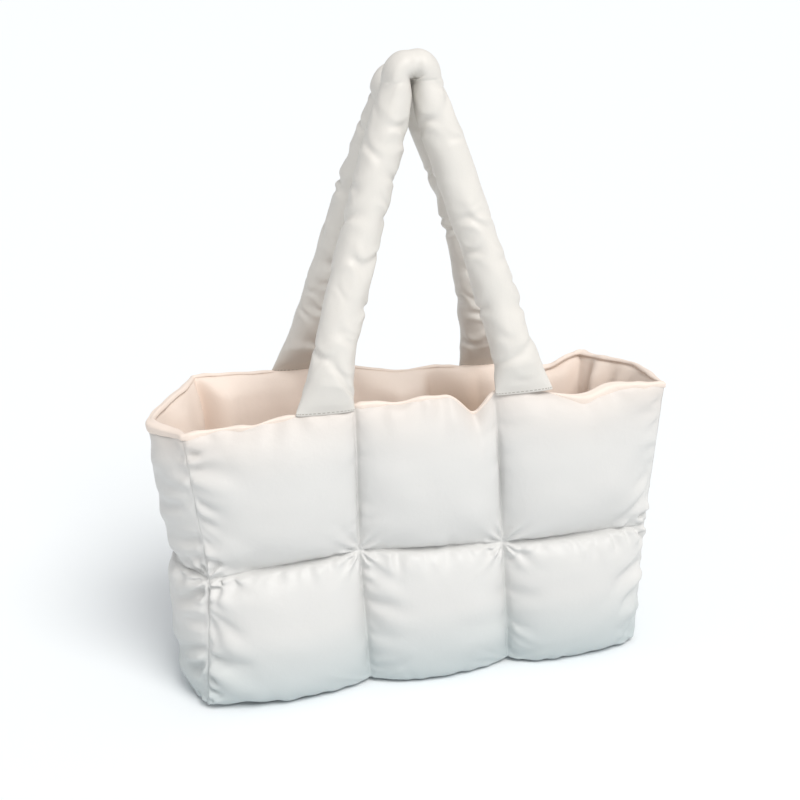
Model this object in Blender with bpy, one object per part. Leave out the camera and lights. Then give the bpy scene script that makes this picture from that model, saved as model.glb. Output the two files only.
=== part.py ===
"""Quilted tote bag: padded panels, a loose lining and two padded tube handles.

The bag stands on its base. X runs across the front, Y from front to back, Z up.
The origin is on the floor, under the middle of the base. Lengths are in metres.
"""
import math
from collections import namedtuple

import bmesh
import bpy
from mathutils import Vector

# Driving sizes of the bag
BAG_WIDTH = 0.440
BAG_DEPTH = 0.156
BAG_HEIGHT = 0.290
COLUMN_WIDTH = 0.142
BASE_DEPTH = 0.134
MID_SEAM_HEIGHT = 0.140
LOW_SEAM_HEIGHT = 0.005

# Padding and cloth
SEAM_THICKNESS = 0.003
PANEL_PUFF = 0.027
GUSSET_UPPER_PUFF = 0.009
GUSSET_LOWER_PUFF = 0.018
INNER_PUFF = 0.006
BASE_PADDING = 0.006
BASE_EDGE_THICKNESS = 0.0016
LINING_THICKNESS = 0.001
LINING_SLACK = 0.003
RIM_ROLL_HEIGHT = 0.0045
RIM_ROLL_WIDTH = 0.006
GAP = 0.0003
LINING_GAP = 0.0006

# Handles
HANDLE_DIAMETER = 0.0425
HANDLE_APEX_SHIFT = 0.008
HANDLE_BEND_GAP = 0.0024
HANDLE_APEX_GAP = 0.0041
FRONT_HANDLE_RISE = 0.326
BACK_HANDLE_RISE = 0.309
FOOT_SHARE = 0.15
STRAND_EASE = 1.3

# Fineness of the meshes
CELL_STEPS = 8
STRAND_STEPS = 15
BEND_STEPS = 8
HANDLE_SIDES = 14
RIM_SEARCH_STEPS = 120

# How a puff swells past its seams and sags towards the floor
PUFF_FULLNESS = 0.5
INNER_FULLNESS = 0.9
PUFF_SPREAD = 0.35
PUFF_SAG = 0.35
GATHER_DEPTH = 0.18

SHELL_COLOUR = (0.86, 0.85, 0.82, 1.0)
LINING_COLOUR = (0.88, 0.78, 0.69, 1.0)
SHELL_ROUGHNESS = 0.55
LINING_ROUGHNESS = 0.7

# The rolled rim of the lining, as shares of its height and of its half width
ROLL_SHOULDER = 0.6
ROLL_CREST = 0.2

# The upright seams, counted round the bag from the front left corner.
# x is a share of half the width named in half, y a share of half the bag's depth,
# or of the base's at the low seam, and z a share of the height of its own seam.
Post = namedtuple("Post", "name half rim_x rim_y rim_z mid_x mid_y mid_z low_x low_y")
SIDE = BAG_WIDTH / 2
COLUMN = COLUMN_WIDTH / 2
POSTS = [
    Post("front_left", SIDE, -1.06, -0.97, 0.979, -1.00, -1.03, 0.975, -1.06, -1.34),
    Post("front_seam_a", COLUMN, -0.99, -0.97, 1.024, -1.05, -1.02, 1.060, -0.98, -1.16),
    Post("front_seam_b", COLUMN, 0.94, -0.97, 1.024, 0.99, -1.00, 0.986, 1.05, -1.10),
    Post("front_right", SIDE, 1.08, -0.95, 0.986, 0.99, -0.97, 0.979, 0.96, -1.00),
    Post("back_right", SIDE, 0.90, 0.82, 0.952, 0.94, 0.88, 0.980, 0.92, 0.92),
    Post("back_seam_b", COLUMN, 0.92, 0.92, 0.944, 0.99, 0.97, 1.000, 0.99, 0.98),
    Post("back_seam_a", COLUMN, -1.06, 1.07, 0.982, -1.05, 1.05, 1.020, -1.00, 1.00),
    Post("back_left", SIDE, -0.97, 1.22, 0.976, -0.98, 1.12, 0.990, -0.97, 1.00),
]

# Folds of the wall. at counts posts round the bag, and before and after are how far
# the fold reaches on its two sides, in the same count. drop is a share of the bag's
# height, taken off the rim. The pushes are shares of the bag's depth, outwards, at
# the rim, the mid seam and the low seam.
Fold = namedtuple("Fold", "at before after drop rim_push mid_push low_push")
FOLDS = [
    Fold(0.40, 0.12, 0.12, 0.012, 0.00, 0.00, 0.00),
    Fold(1.31, 0.16, 0.16, 0.010, 0.00, 0.00, 0.00),
    Fold(1.85, 0.17, 0.15, 0.080, -0.02, 0.00, 0.00),
    Fold(2.50, 0.30, 0.20, 0.036, 0.03, 0.00, 0.00),
    Fold(3.50, 0.50, 0.50, -0.010, 0.09, 0.06, 0.05),
    Fold(4.31, 0.30, 0.30, 0.030, -0.03, 0.00, 0.00),
    Fold(5.50, 0.40, 0.40, 0.008, -0.06, -0.02, 0.00),
    Fold(6.50, 0.40, 0.40, 0.008, 0.02, 0.02, 0.00),
    Fold(7.69, 0.69, 0.31, 0.010, 0.22, 0.18, 0.08),
]

# Sections of a handle. at is the share of the way from the sewn end to the bend,
# and width, across the strand in the handle's own plane, and depth are shares of
# the handle's diameter.
Section = namedtuple("Section", "at width depth")
HANDLE_SECTIONS = [
    Section(0.00, 1.26, 0.16),
    Section(0.04, 1.16, 0.52),
    Section(0.09, 1.03, 0.86),
    Section(0.18, 0.98, 1.00),
    Section(0.55, 0.96, 1.00),
    Section(0.80, 0.98, 1.00),
    Section(0.90, 0.88, 1.04),
    Section(0.97, 0.74, 1.08),
    Section(1.00, 0.72, 1.08),
]

# The two handles. side is -1 at the front and 1 at the back, and the seams are the
# posts that the sewn ends stand beside. rise is how far the top stands above the
# rim. Each bow is how far a strand's middle line swings out, half-way up, as a
# share of the bag's depth.
Handle = namedtuple("Handle", "node rise side seam_a seam_b bow_a bow_b")
HANDLES = [
    Handle("handle_front", FRONT_HANDLE_RISE, -1, 1, 2, 0.00, 0.01),
    Handle("handle_back", BACK_HANDLE_RISE, 1, 6, 5, -0.02, 0.05),
]

UP = Vector((0.0, 0.0, 1.0))
RIM = 2.0
SEAM_HALF = SEAM_THICKNESS / 2

# Post numbers of the corners, and how many posts there are all round
FRONT_LEFT = 0
FRONT_RIGHT = 3
BACK_RIGHT = 4
BACK_LEFT = 7
ROUND = len(POSTS)
COLUMNS = FRONT_RIGHT - FRONT_LEFT


def clear_scene():
    for old in list(bpy.data.objects):
        bpy.data.objects.remove(old)


def fabric(name, colour, roughness):
    """A plain cloth material."""
    material = bpy.data.materials.new(name)
    material.use_nodes = True
    shader = material.node_tree.nodes["Principled BSDF"]
    shader.inputs["Base Color"].default_value = colour
    shader.inputs["Roughness"].default_value = roughness
    shader.inputs["Metallic"].default_value = 0.0
    return material


def finish_object(bm, name, material, collection):
    """Turn a closed bmesh into a named object with its faces pointing out."""
    bmesh.ops.recalc_face_normals(bm, faces=bm.faces)
    mesh = bpy.data.meshes.new(name)
    bm.to_mesh(mesh)
    bm.free()
    mesh.shade_smooth()
    mesh.set_sharp_from_angle(angle=math.radians(60))
    mesh.materials.append(material)
    made = bpy.data.objects.new(name, mesh)
    collection.objects.link(made)
    return made


def eased(share):
    """Steps that gather towards both ends of a cell, where a puff is steep."""
    return (1 - math.cos(math.pi * share)) / 2


def cell_place(steps):
    """Cell number and eased share within it, for a count of steps from a seam."""
    cell = int(steps // CELL_STEPS)
    return cell, eased((steps - cell * CELL_STEPS) / CELL_STEPS)


def seam_node(post_number, level):
    """Where an upright seam crosses the low seam (0), the mid seam (1) or the rim (2)."""
    post = POSTS[post_number % ROUND]
    if level == 0:
        return Vector((post.low_x * post.half, post.low_y * BASE_DEPTH / 2, LOW_SEAM_HEIGHT))
    if level == 1:
        height = post.mid_z * MID_SEAM_HEIGHT
        return Vector((post.mid_x * post.half, post.mid_y * BAG_DEPTH / 2, height))
    height = post.rim_z * BAG_HEIGHT
    return Vector((post.rim_x * post.half, post.rim_y * BAG_DEPTH / 2, height))


def patch_normal(post_number, row):
    """Outward normal of the flat cell between two upright seams."""
    near = seam_node(post_number, row)
    far = seam_node(post_number + 1, row)
    top = seam_node(post_number, row + 1)
    return (far - near).cross(top - near).normalized()


def shared_offset(first, second):
    """Offset direction at a corner that keeps one unit along both normals."""
    return (first + second) / (1 + first.dot(second))


def wall_outward(around, up):
    """Offset direction of the wall, mitred where two panels or cells meet."""
    post, across = split_count(around, ROUND)
    row, rise = split_count(up, RIM)
    here = patch_normal(post, row)
    if across < 1e-6:
        here = shared_offset(patch_normal(post - 1, row), here)
    elif across > 1 - 1e-6:
        here = shared_offset(here, patch_normal(post + 1, row))
    if rise < 1e-6 and row == 1:
        below = wall_outward(around, 1 - 1e-3)
        here = (here + below) / 2
    return here


def lining_outward(around, up):
    """Offset direction that keeps the lining's ring parallel to each flat cell."""
    post, across = split_count(around, ROUND)
    return wall_outward(post, up).lerp(wall_outward(post + 1, up), across)


def split_count(value, last):
    """Whole cell and share of it, with the far end kept in the last cell."""
    whole = min(int(math.floor(value + 1e-9)), int(last) - 1)
    return whole, value - whole


def fold_strength(fold, around):
    """How much of a fold is felt here, from 1 at its line to 0 at its reach."""
    reach = fold.before if around < fold.at else fold.after
    return max(0.0, 1 - abs(around - fold.at) / reach)


def wall_middle(around, up):
    """Point of the wall's middle surface, with the folds of the rim and gussets."""
    post, across = split_count(around, ROUND)
    row, rise = split_count(up, RIM)
    low = seam_node(post, row).lerp(seam_node(post + 1, row), across)
    high = seam_node(post, row + 1).lerp(seam_node(post + 1, row + 1), across)
    point = low.lerp(high, rise)
    outward = patch_normal(post, row)
    for fold in FOLDS:
        strength = fold_strength(fold, around)
        if row == 0:
            push = fold.low_push + (fold.mid_push - fold.low_push) * rise
            drop = 0.0
        else:
            push = fold.mid_push + (fold.rim_push - fold.mid_push) * rise
            drop = fold.drop * rise ** 3
        point = point + outward * (strength * push * BAG_DEPTH)
        point.z -= strength * drop * BAG_HEIGHT
    return point


def swell(across, rise, fullness):
    """Height of a pillow over its cell, from 0 at the seams to 1 at the middle."""
    return (16 * across * (1 - across) * rise * (1 - rise)) ** fullness


def gathered(step_across, step_up, across, rise):
    """Share of a puff's height that is left where its cloth is gathered at the seams."""
    near_side = abs(2 * across - 1) ** 3
    near_end = abs(2 * rise - 1) ** 3
    pleat_up = 0.5 - 0.5 * math.cos(math.pi * step_up)
    pleat_across = 0.5 - 0.5 * math.cos(math.pi * step_across)
    return 1 - GATHER_DEPTH * (near_side * pleat_up + near_end * pleat_across)


def seam_clearance(around, up, into_panel):
    """Half the gap between two panels, square to the mitre between them."""
    mitre = wall_outward(around, up)
    side = mitre.cross(UP).normalized()
    if side.dot(into_panel) < 0:
        side.negate()
    return side * (GAP / 2)


def outer_skin(first_post, cells, puffs):
    """Outer face of a panel, as a function of steps across and up from its corner.

    puffs holds the height of the lower and of the upper row's puffs.
    """
    def place(step_across, step_up):
        cell, across = cell_place(min(step_across, cells * CELL_STEPS - 1e-9))
        row, rise = cell_place(min(step_up, 2 * CELL_STEPS - 1e-9))
        around = first_post + cell + across
        point = panel_middle(first_post, cells, around, row + rise)
        height = puffs[row] * swell(across, rise, PUFF_FULLNESS)
        height *= gathered(step_across, step_up, across, rise)
        along = seam_node(first_post + cell + 1, row) - seam_node(first_post + cell, row)
        point = point + wall_outward(around, row + rise) * (SEAM_HALF + height)
        point = point + along.normalized() * (PUFF_SPREAD * (2 * across - 1) * height)
        point.z += PUFF_SPREAD * (2 * rise - 1) * height
        if row == 0:
            point.z -= PUFF_SAG * (1 - rise) ** 2 * height
        point.z = max(point.z, 0.0)
        return point
    return place


def inner_skin(first_post, cells):
    """Inner face of a panel, which swells less than the outer one."""
    def place(step_across, step_up):
        cell, across = cell_place(min(step_across, cells * CELL_STEPS - 1e-9))
        row, rise = cell_place(min(step_up, 2 * CELL_STEPS - 1e-9))
        around = first_post + cell + across
        point = panel_middle(first_post, cells, around, row + rise)
        depth = SEAM_HALF + INNER_PUFF * swell(across, rise, INNER_FULLNESS)
        return point - wall_outward(around, row + rise) * depth
    return place


def panel_middle(first_post, cells, around, up):
    """Middle surface of one panel, held off its neighbours at both side seams."""
    point = wall_middle(around, up)
    inwards = wall_middle(first_post + cells / 2, up) - point
    if around < first_post + 1e-6 or around > first_post + cells - 1e-6:
        point = point + seam_clearance(around, up, inwards)
    return point


def grid_skin(bm, steps_across, steps_up, place):
    """Add a grid whose points are set by place(step across, step up)."""
    size = 1.0
    made = bmesh.ops.create_grid(
        bm, x_segments=steps_across, y_segments=steps_up, size=size)
    for vert in made["verts"]:
        step_across = round((vert.co.x / size + 1) / 2 * steps_across)
        step_up = round((vert.co.y / size + 1) / 2 * steps_up)
        vert.co = place(step_across, step_up)
    return made["verts"]


def border_edges(bm):
    return [edge for edge in bm.edges if edge.is_boundary]


def padded_sheet(name, steps_across, steps_up, outer, inner, material, collection):
    """A closed pad between two skins that share a border of the same steps."""
    bm = bmesh.new()
    grid_skin(bm, steps_across, steps_up, outer)
    grid_skin(bm, steps_across, steps_up, inner)
    bmesh.ops.bridge_loops(bm, edges=border_edges(bm))
    return finish_object(bm, name, material, collection)


def wall_panel(name, first_post, cells, puffs, material, collection):
    """One padded wall of the bag, cells wide and two rows high."""
    return padded_sheet(
        name, cells * CELL_STEPS, 2 * CELL_STEPS,
        outer_skin(first_post, cells, puffs), inner_skin(first_post, cells),
        material, collection)


def floor_patch(inset, height):
    """A level patch inside the low seam, as a function of steps across and back."""
    front_steps = COLUMNS * CELL_STEPS

    def border(around):
        point = wall_middle(around, 0.0) - wall_outward(around, 0.0) * inset
        return Vector((point.x, point.y, 0.0))

    def place(step_across, step_back):
        cell, across = cell_place(min(step_across, front_steps - 1e-9))
        share_x = (cell + across) / COLUMNS
        share_y = eased(step_back / CELL_STEPS)
        front = border(FRONT_LEFT + COLUMNS * share_x)
        back = border(BACK_LEFT - COLUMNS * share_x)
        right = border(FRONT_RIGHT + share_y)
        left = border(ROUND - share_y)
        low_line = border(FRONT_LEFT).lerp(border(FRONT_RIGHT), share_x)
        high_line = border(BACK_LEFT).lerp(border(BACK_RIGHT), share_x)
        point = front.lerp(back, share_y) + left.lerp(right, share_x)
        point = point - low_line.lerp(high_line, share_y)
        point.z = height(step_across, step_back)
        return point
    return place


def base_panel(material, collection):
    """The padded base: flat on the floor, crowned inside, thin at its seam."""
    edge_half = BASE_EDGE_THICKNESS / 2
    inset = SEAM_HALF + 2 * GAP
    steps = COLUMNS * CELL_STEPS

    def is_edge(step_across, step_back):
        return step_across in (0, steps) or step_back in (0, CELL_STEPS)

    def under(step_across, step_back):
        if is_edge(step_across, step_back):
            return LOW_SEAM_HEIGHT - edge_half
        return 0.0

    def over(step_across, step_back):
        crown = swell(eased(step_across / steps), eased(step_back / CELL_STEPS), INNER_FULLNESS)
        return LOW_SEAM_HEIGHT + edge_half + BASE_PADDING * crown

    return padded_sheet(
        "base_panel", steps, CELL_STEPS,
        floor_patch(inset, under), floor_patch(inset, over), material, collection)


def loop_counts():
    """Post counts of the points round one ring of the wall, in order."""
    counts = []
    for step in range(ROUND * CELL_STEPS):
        cell, across = cell_place(step)
        counts.append(cell + across)
    return counts


def ring(bm, points):
    """Add a closed ring of edges through the points."""
    made = bmesh.ops.create_circle(bm, segments=len(points), radius=1.0)
    verts = made["verts"]
    for vert, point in zip(verts, points):
        vert.co = point
    return verts


def ring_edges(verts):
    chosen = set(verts)
    found = set()
    for vert in verts:
        found.update(e for e in vert.link_edges if e.verts[0] in chosen and e.verts[1] in chosen)
    return list(found)


def bridge(bm, lower, upper):
    bmesh.ops.bridge_loops(bm, edges=ring_edges(lower) + ring_edges(upper))


def lining_rings():
    """Rings of the lining: up its outer face, over the rim and down its inner face."""
    outer_inset = SEAM_HALF + LINING_GAP
    floor_height = LOW_SEAM_HEIGHT + BASE_EDGE_THICKNESS / 2 + BASE_PADDING + LINING_GAP
    floor_up = (floor_height - LOW_SEAM_HEIGHT) / (MID_SEAM_HEIGHT - LOW_SEAM_HEIGHT)
    counts = loop_counts()

    def wall_ring(up, inset, lift=0.0, level=None):
        points = []
        for around in counts:
            point = wall_middle(around, up) - lining_outward(around, up) * inset
            point.z = level if level is not None else point.z + lift
            points.append(point)
        return points

    half_steps = CELL_STEPS // 2
    upper = [1 + eased(0.5 + step / CELL_STEPS) for step in range(half_steps + 1)]
    loose_inset = INNER_PUFF + LINING_SLACK
    rows = [(1.0, outer_inset + loose_inset)]
    for up in upper:
        rows.append((up, outer_inset + loose_inset * swell(0.5, up - 1, INNER_FULLNESS)))
    rings = [wall_ring(floor_up, outer_inset + loose_inset, level=floor_height)]
    rings += [wall_ring(up, inset) for up, inset in rows]
    roll_out = RIM_ROLL_WIDTH / 2
    roll_in = outer_inset + LINING_THICKNESS
    rings += [
        wall_ring(RIM, outer_inset, lift=LINING_GAP),
        wall_ring(RIM, -roll_out, lift=LINING_GAP),
        wall_ring(RIM, -roll_out, lift=RIM_ROLL_HEIGHT * ROLL_SHOULDER),
        wall_ring(RIM, -roll_out * ROLL_CREST, lift=RIM_ROLL_HEIGHT),
        wall_ring(RIM, roll_in, lift=RIM_ROLL_HEIGHT * ROLL_SHOULDER),
    ]
    rings += [wall_ring(up, inset + LINING_THICKNESS) for up, inset in reversed(rows)]
    inner_floor = floor_height + LINING_THICKNESS
    inner_inset = outer_inset + loose_inset + LINING_THICKNESS
    rings.append(wall_ring(floor_up, inner_inset, level=inner_floor))
    return rings


def close_with_floor(bm, points):
    """Fill a ring of the wall with a level grid of the bag's own steps."""
    steps = COLUMNS * CELL_STEPS
    back_start = steps + CELL_STEPS
    left_start = 2 * steps + CELL_STEPS
    total = len(points)

    def place(step_across, step_back):
        cell, across = cell_place(min(step_across, steps - 1e-9))
        share_x = (cell + across) / COLUMNS
        share_y = eased(step_back / CELL_STEPS)
        front = points[step_across]
        back = points[left_start - step_across]
        right = points[steps + step_back]
        left = points[(total - step_back) % total]
        low_line = points[0].lerp(points[steps], share_x)
        high_line = points[left_start].lerp(points[back_start], share_x)
        point = front.lerp(back, share_y) + left.lerp(right, share_x)
        return point - low_line.lerp(high_line, share_y)

    grid_skin(bm, steps, CELL_STEPS, place)


def lining(material, collection):
    """The lining: a thin open pouch whose top edge is rolled over the rim."""
    bm = bmesh.new()
    rings = lining_rings()
    made = [ring(bm, points) for points in rings]
    for lower, upper in zip(made, made[1:]):
        bridge(bm, lower, upper)
    close_with_floor(bm, rings[0])
    close_with_floor(bm, rings[-1])
    bmesh.ops.remove_doubles(bm, verts=bm.verts, dist=1e-6)
    return finish_object(bm, "lining", material, collection)


def section_at(share):
    """Width and depth of a strand at a share of its length."""
    low, high = HANDLE_SECTIONS[0], HANDLE_SECTIONS[-1]
    for first, second in zip(HANDLE_SECTIONS, HANDLE_SECTIONS[1:]):
        if first.at <= share <= second.at:
            low, high = first, second
    part = (share - low.at) / (high.at - low.at)
    part = part * part * (3 - 2 * part)
    width = low.width + (high.width - low.width) * part
    depth = low.depth + (high.depth - low.depth) * part
    return width * HANDLE_DIAMETER, depth * HANDLE_DIAMETER


def rim_near(x, side):
    """Point of the rim's middle line near an x, on the front (-1) or back (1) wall."""
    first = FRONT_LEFT if side < 0 else BACK_RIGHT
    shares = [step / RIM_SEARCH_STEPS for step in range(RIM_SEARCH_STEPS + 1)]
    points = [wall_middle(first + COLUMNS * share, RIM) for share in shares]
    return min(points, key=lambda point: abs(point.x - x))


def handle_seat(x, side):
    """Where the flattened end of a handle stands on the rolled rim."""
    return rim_near(x, side) + UP * (RIM_ROLL_HEIGHT + GAP * 2)


def strand(foot, head, bow):
    """Middle points of one strand from its foot to the bend, bowed sideways."""
    points = []
    for step in range(STRAND_STEPS):
        share = (step / STRAND_STEPS) ** STRAND_EASE
        point = foot.lerp(head, share)
        point.x += bow * math.sin(math.pi * share)
        points.append((point, share))
    return points


def handle_path(handle):
    """Middle points of a handle from foot to foot, with each one's strand share."""
    reach = HANDLE_SECTIONS[0].width * HANDLE_DIAMETER / 2
    foot_a = handle_seat(seam_node(handle.seam_a, 2).x - reach, handle.side)
    foot_b = handle_seat(seam_node(handle.seam_b, 2).x + reach, handle.side)
    half_width = HANDLE_SECTIONS[-1].width * HANDLE_DIAMETER / 2
    half_depth = HANDLE_SECTIONS[-1].depth * HANDLE_DIAMETER / 2
    bend = half_width + HANDLE_BEND_GAP / 2
    lean = handle.side * (half_depth + HANDLE_APEX_GAP / 2)
    height = BAG_HEIGHT + handle.rise - half_width - bend
    centre = Vector((HANDLE_APEX_SHIFT, lean, height))
    left = centre - Vector((bend, 0.0, 0.0))
    right = centre + Vector((bend, 0.0, 0.0))
    path = strand(foot_a, left, -handle.bow_a * BAG_DEPTH)
    for step in range(BEND_STEPS + 1):
        turn = math.pi * (1 - step / BEND_STEPS)
        around = Vector((math.cos(turn), 0.0, math.sin(turn))) * bend
        path.append((centre + around, 1.0))
    path += reversed(strand(foot_b, right, handle.bow_b * BAG_DEPTH))
    return path


def handle_tube(handle, material, collection):
    """A padded tube handle, flat where it is sewn to the rim."""
    bm = bmesh.new()
    path = handle_path(handle)
    points = [point for point, share in path]
    span = points[-1] - points[0]
    rise = points[len(points) // 2] - points[0]
    facing = span.cross(rise).normalized()
    made = []
    for number, (point, share) in enumerate(path):
        before = points[max(number - 1, 0)]
        after = points[min(number + 1, len(points) - 1)]
        along = (after - before).normalized()
        upright = UP if number < len(points) / 2 else -UP
        along = upright.lerp(along, min(1.0, share / FOOT_SHARE)).normalized()
        side = along.cross(facing).normalized()
        front = side.cross(along)
        width, depth = section_at(share)
        corners = []
        for step in range(HANDLE_SIDES):
            turn = 2 * math.pi * step / HANDLE_SIDES
            offset = side * (math.cos(turn) * width / 2) + front * (math.sin(turn) * depth / 2)
            corner = point + offset
            if number in (0, len(points) - 1):
                corner.z = handle_seat(corner.x, handle.side).z
            corners.append(corner)
        made.append(ring(bm, corners))
    for lower, upper in zip(made, made[1:]):
        bridge(bm, lower, upper)
    bmesh.ops.holes_fill(bm, edges=border_edges(bm), sides=HANDLE_SIDES)
    return finish_object(bm, handle.node, material, collection)


def build():
    clear_scene()
    collection = bpy.data.collections.new("tote_bag")
    bpy.context.scene.collection.children.link(collection)
    shell = fabric("shell", SHELL_COLOUR, SHELL_ROUGHNESS)
    inside = fabric("lining_cloth", LINING_COLOUR, LINING_ROUGHNESS)
    panel_puffs = (PANEL_PUFF, PANEL_PUFF)
    gusset_puffs = (GUSSET_LOWER_PUFF, GUSSET_UPPER_PUFF)
    wall_panel("front_panel", FRONT_LEFT, COLUMNS, panel_puffs, shell, collection)
    wall_panel("gusset_right", FRONT_RIGHT, 1, gusset_puffs, shell, collection)
    wall_panel("back_panel", BACK_RIGHT, COLUMNS, panel_puffs, shell, collection)
    wall_panel("gusset_left", BACK_LEFT, 1, gusset_puffs, shell, collection)
    base_panel(shell, collection)
    lining(inside, collection)
    for handle in HANDLES:
        handle_tube(handle, shell, collection)


build()
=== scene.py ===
"""Looks of the quilted tote bag: puffed cloth walls, a slack lining and padded handles.

The bag's seams, folds and handle lines repeat the part's own, in metres. The outer cloth
of a wall starts with creases laid in from its seams, swells between them, and then takes
a share of the same creases once more.
"""
import math
from collections import namedtuple

import bpy
import numpy as np
from mathutils import Matrix, Vector, noise


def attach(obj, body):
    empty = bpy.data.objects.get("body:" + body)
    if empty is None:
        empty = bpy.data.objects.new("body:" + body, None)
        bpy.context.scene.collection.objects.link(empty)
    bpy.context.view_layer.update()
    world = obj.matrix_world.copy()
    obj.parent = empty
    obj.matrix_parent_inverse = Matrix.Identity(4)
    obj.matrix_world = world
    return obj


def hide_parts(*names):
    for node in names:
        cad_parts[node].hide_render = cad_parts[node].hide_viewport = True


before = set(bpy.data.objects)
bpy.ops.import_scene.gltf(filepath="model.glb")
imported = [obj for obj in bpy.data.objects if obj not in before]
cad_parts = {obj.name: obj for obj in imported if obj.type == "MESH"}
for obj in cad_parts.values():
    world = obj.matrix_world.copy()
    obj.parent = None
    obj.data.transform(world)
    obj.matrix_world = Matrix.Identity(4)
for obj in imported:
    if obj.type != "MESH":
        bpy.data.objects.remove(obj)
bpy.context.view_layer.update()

# Sizes shared with the part, in metres
BAG_WIDTH = 0.440
BAG_DEPTH = 0.156
BAG_HEIGHT = 0.290
COLUMN_WIDTH = 0.142
BASE_DEPTH = 0.134
MID_SEAM_HEIGHT = 0.140
LOW_SEAM_HEIGHT = 0.005
SEAM_HALF = 0.0015
PANEL_PUFF = 0.027
GUSSET_LOWER_PUFF = 0.018
BASE_PADDING = 0.006
GAP = 0.0003
HANDLE_DIAMETER = 0.0425
HANDLE_APEX_SHIFT = 0.008
HANDLE_BEND_GAP = 0.0024
HANDLE_APEX_GAP = 0.0041
FRONT_HANDLE_RISE = 0.326
BACK_HANDLE_RISE = 0.309

# Sizes that only the looks have, in metres. The right gusset has a share of the left
# one's puffs. The underside of the base falls from its seam until it meets the floor.
GUSSET_UPPER_PUFF = 0.013
RIGHT_SHARE = 0.4
INNER_PUFF = 0.004
BASE_EDGE = 0.0008
BASE_FALL = 0.02
BASE_ROUNDNESS = 0.5
SEAM_GAP = 0.0001

# Fineness of the cloth grids: steps along one puff, how they crowd towards its seams, and
# rows down the lining
CELL_STEPS = 40
CELL_CROWDING = 0.40
LINING_STEPS = 26
LINING_ROWS = 32
BASE_STEPS = 16

# The upright seams, counted round the bag from the front left corner. x is a share of
# half the width named in half, y of half the depth, z of the height of its own seam.
Post = namedtuple("Post", "half rim_x rim_y rim_z mid_x mid_y mid_z low_x low_y")
SIDE = BAG_WIDTH / 2
COLUMN = COLUMN_WIDTH / 2
POSTS = [
    Post(SIDE, -1.06, -0.97, 0.979, -1.00, -1.03, 0.975, -1.06, -1.34),
    Post(COLUMN, -0.99, -0.97, 1.024, -1.05, -1.02, 1.060, -0.98, -1.16),
    Post(COLUMN, 0.94, -0.97, 1.024, 0.99, -1.00, 0.986, 1.05, -1.10),
    Post(SIDE, 1.08, -0.95, 0.986, 0.99, -0.97, 0.979, 0.96, -1.00),
    Post(SIDE, 0.90, 0.82, 0.952, 0.94, 0.88, 0.980, 0.92, 0.92),
    Post(COLUMN, 0.92, 0.92, 0.944, 0.99, 0.97, 1.000, 0.99, 0.98),
    Post(COLUMN, -1.06, 1.07, 0.982, -1.05, 1.05, 1.020, -1.00, 1.00),
    Post(SIDE, -0.97, 1.22, 0.976, -0.98, 1.12, 0.990, -0.97, 1.00),
]
FRONT_LEFT = 0
FRONT_RIGHT = 3
BACK_RIGHT = 4
BACK_LEFT = 7
ROUND = len(POSTS)
COLUMNS = 3
ROWS = 2
RIM = 2.0

# Folds of the wall. at counts posts, before and after are its reach on its two sides,
# drop is a share of the height taken off the rim, and the pushes are shares of the
# depth, outwards, at the rim, the mid seam and the low seam. sharp is 1 for a creased
# fold and 0 for a rounded one. DROP_POWER keeps the drop near the rim.
DROP_POWER = 3
Fold = namedtuple("Fold", "at before after drop rim_push mid_push low_push sharp")
FOLDS = [
    Fold(0.40, 0.12, 0.12, 0.012, 0.00, 0.00, 0.00, 0.5),
    Fold(1.31, 0.16, 0.16, 0.010, 0.00, 0.00, 0.00, 0.5),
    Fold(1.85, 0.17, 0.15, 0.080, -0.02, 0.00, 0.00, 0.8),
    Fold(2.50, 0.30, 0.20, 0.036, 0.03, 0.00, 0.00, 0.2),
    Fold(3.50, 0.50, 0.50, -0.010, 0.09, 0.06, 0.05, 0.0),
    Fold(4.31, 0.30, 0.30, 0.040, -0.03, 0.00, 0.00, 0.0),
    Fold(5.50, 0.40, 0.40, 0.008, -0.06, -0.02, 0.00, 0.0),
    Fold(6.50, 0.40, 0.40, 0.008, 0.02, 0.02, 0.00, 0.0),
    Fold(7.69, 0.69, 0.31, 0.010, 0.22, 0.18, 0.08, 0.3),
]

# Small waves of the rim: how many go round the bag, their phase, and their height
# and outward push in metres. They are calm away from the front.
Wave = namedtuple("Wave", "cycles phase lift push")
RIM_WAVES = [
    Wave(23, 0.7, 0.0006, 0.0012),
    Wave(37, 2.1, 0.0005, 0.0009),
    Wave(61, 4.0, 0.0003, 0.0006),
]
RIM_WAVE_DEPTH = 6
CALM_WAVES = 0.25
CALM_REACH = 0.3

# The lining, in metres and levels. Its rows stand closer towards the rim, where its
# inset from the wall fades out.
LINING_THICKNESS = 0.001
WELD_DISTANCE = 0.00005
LINING_INSET = 0.0085
LINING_FLOOR = 0.0125
INSET_REACH = 0.25
INSET_POWER = 0.6
LEVEL_POWER = 1.4

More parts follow.
